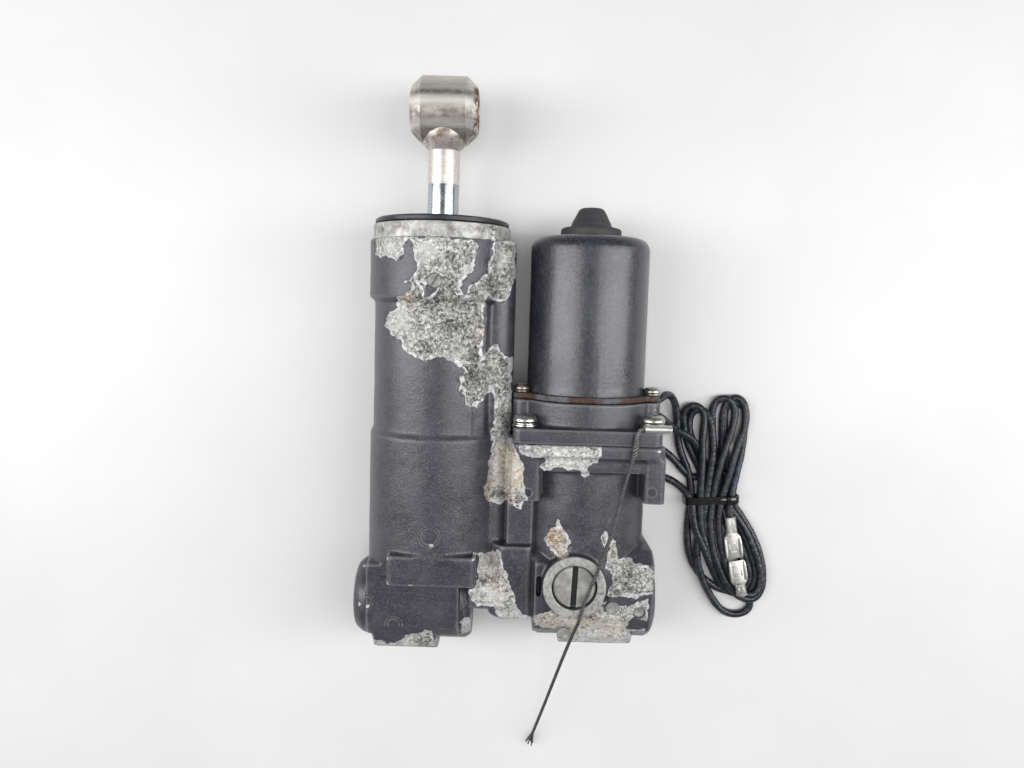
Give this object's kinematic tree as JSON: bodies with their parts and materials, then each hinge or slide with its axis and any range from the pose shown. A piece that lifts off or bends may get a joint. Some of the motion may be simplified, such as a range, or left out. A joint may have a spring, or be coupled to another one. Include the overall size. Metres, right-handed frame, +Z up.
{
  "type": "electro-hydraulic linear actuator",
  "caption": "Electro-hydraulic tilt actuator: hydraulic cylinder and motor-driven gear pump side by side in one painted casting, with eye-ended rod and tied motor leads.",
  "frame": {"origin": "on the table, under the middle of the unit's own length, width and height, the loose leads and earth wire left out", "axes": "+Y along the cylinder towards the rod eye, +X across towards the motor, +Z up from the table towards the side with the release valve"},
  "size_m": [0.2368, 0.3853, 0.0808],
  "materials": {
    "casting_paint": "semi-matte slate-grey paint over an aluminium casting, worn through to corroded metal in patches",
    "can_paint": "semi-gloss dark grey paint",
    "nose_cap_rubber": "matte",
    "end_cap_metal": "dark anodised, turned",
    "bush_plastic": "matte moulded",
    "machined_steel": "machined",
    "bronze": "sintered bronze",
    "chrome_plate": "hard chrome, polished",
    "seal_rubber": "matte",
    "zinc_plate": "bright zinc plate",
    "bare_aluminium": "machined",
    "ferrite": "matte sintered ferrite",
    "laminated_steel": "varnished laminations",
    "copper_winding": "enamelled copper wire",
    "carbon": "matte graphite",
    "lead_sleeve": "satin wrinkled sleeve",
    "tie_nylon": "satin nylon",
    "tinned_terminal": "tin plate",
    "wire_strands": "tinned copper strands, dulled"
  },
  "bodies": {
    "housing": {"main_casting": "casting_paint", "motor_base": "casting_paint", "motor_can": "can_paint", "nose_cap": "nose_cap_rubber", "end_cap": "end_cap_metal", "pivot_bush_left": "bush_plastic", "pivot_bush_right": "bush_plastic", "gland_o_ring": "seal_rubber", "rod_wiper": "seal_rubber", "rod_seal": "seal_rubber", "bleed_plug": "bare_aluminium", "magnet_front": "ferrite", "magnet_back": "ferrite", "upper_bearing": "bronze", "lower_bearing": "machined_steel", "shaft_seal": "seal_rubber", "base_o_ring": "seal_rubber", "brush_holder": "bush_plastic", "brush_left": "carbon", "brush_right": "carbon", "pump_body": "bare_aluminium", "pump_cover": "bare_aluminium", "intake_filter": "bush_plastic", "gallery_plug_upper": "bare_aluminium", "gallery_plug_right": "bare_aluminium", "gallery_plug_lower": "bare_aluminium", "base_screw_front_left": "zinc_plate", "base_screw_front_right": "zinc_plate", "base_screw_back_left": "zinc_plate", "base_screw_back_right": "zinc_plate", "can_screw_left": "zinc_plate", "can_screw_right": "zinc_plate", "lead_grommet": "seal_rubber", "lead_positive": "lead_sleeve", "lead_negative": "lead_sleeve", "lead_hank": "lead_sleeve", "cable_tie": "tie_nylon", "terminal_positive": "tinned_terminal", "terminal_negative": "tinned_terminal", "earth_terminal": "tinned_terminal", "earth_wire": "wire_strands"},
    "rod": {"piston_rod": "chrome_plate", "rod_eye": "machined_steel", "rod_eye_bush": "bronze", "piston": "machined_steel", "piston_seal": "seal_rubber", "piston_nut": "zinc_plate"},
    "free_piston": {"free_piston": "bare_aluminium", "free_piston_seal": "seal_rubber"},
    "armature": {"armature_core": "laminated_steel", "armature_windings": "copper_winding", "motor_shaft": "machined_steel", "drive_coupling": "zinc_plate", "pump_drive_gear": "machined_steel"},
    "driven_gear": {"pump_driven_gear": "machined_steel"},
    "valve_lift": {"release_valve_o_ring": "seal_rubber"},
    "valve_screw": {"release_valve_screw": "machined_steel"},
    "shuttle": {"shuttle_piston": "machined_steel"},
    "check_up": {"check_valve_up": "machined_steel"},
    "check_down": {"check_valve_down": "machined_steel"}
  },
  "joints": [
    {"name": "rod_slide", "type": "slide", "parent": "housing", "child": "rod", "axis": [0, 1, 0], "range_m": [0, 0.115]},
    {"name": "free_piston_slide", "type": "slide", "parent": "housing", "child": "free_piston", "axis": [0, 1, 0], "range_m": [0, 0.115]},
    {"name": "motor_spin", "type": "hinge", "parent": "housing", "child": "armature", "pos_m": [0.0408, 0, 0.038], "axis": [0, 1, 0], "continuous": true},
    {"name": "driven_gear_spin", "type": "hinge", "parent": "housing", "child": "driven_gear", "pos_m": [0.0531, 0, 0.038], "axis": [0, 1, 0], "continuous": true},
    {"name": "release_valve_lift", "type": "slide", "parent": "housing", "child": "valve_lift", "axis": [0, 0, 1], "range_m": [0, 0.0022]},
    {"name": "release_valve_turn", "type": "hinge", "parent": "valve_lift", "child": "valve_screw", "pos_m": [0.0356, -0.1059, 0], "axis": [0, 0, 1], "range_deg": [0, 1080]},
    {"name": "shuttle_slide", "type": "slide", "parent": "housing", "child": "shuttle", "axis": [0, 0, 1], "range_m": [-0.002, 0.002]},
    {"name": "check_valve_up_slide", "type": "slide", "parent": "housing", "child": "check_up", "axis": [0, 0, 1], "range_m": [0, 0.0015]},
    {"name": "check_valve_down_slide", "type": "slide", "parent": "housing", "child": "check_down", "axis": [0, 0, -1], "range_m": [0, 0.0015]}
  ],
  "couplings": [
    {"joint": "free_piston_slide", "follows": "rod_slide", "ratio": 1},
    {"joint": "driven_gear_spin", "follows": "motor_spin", "ratio": -1},
    {"joint": "release_valve_lift", "follows": "release_valve_turn", "m_per_rad": 0.00011141}
  ]
}
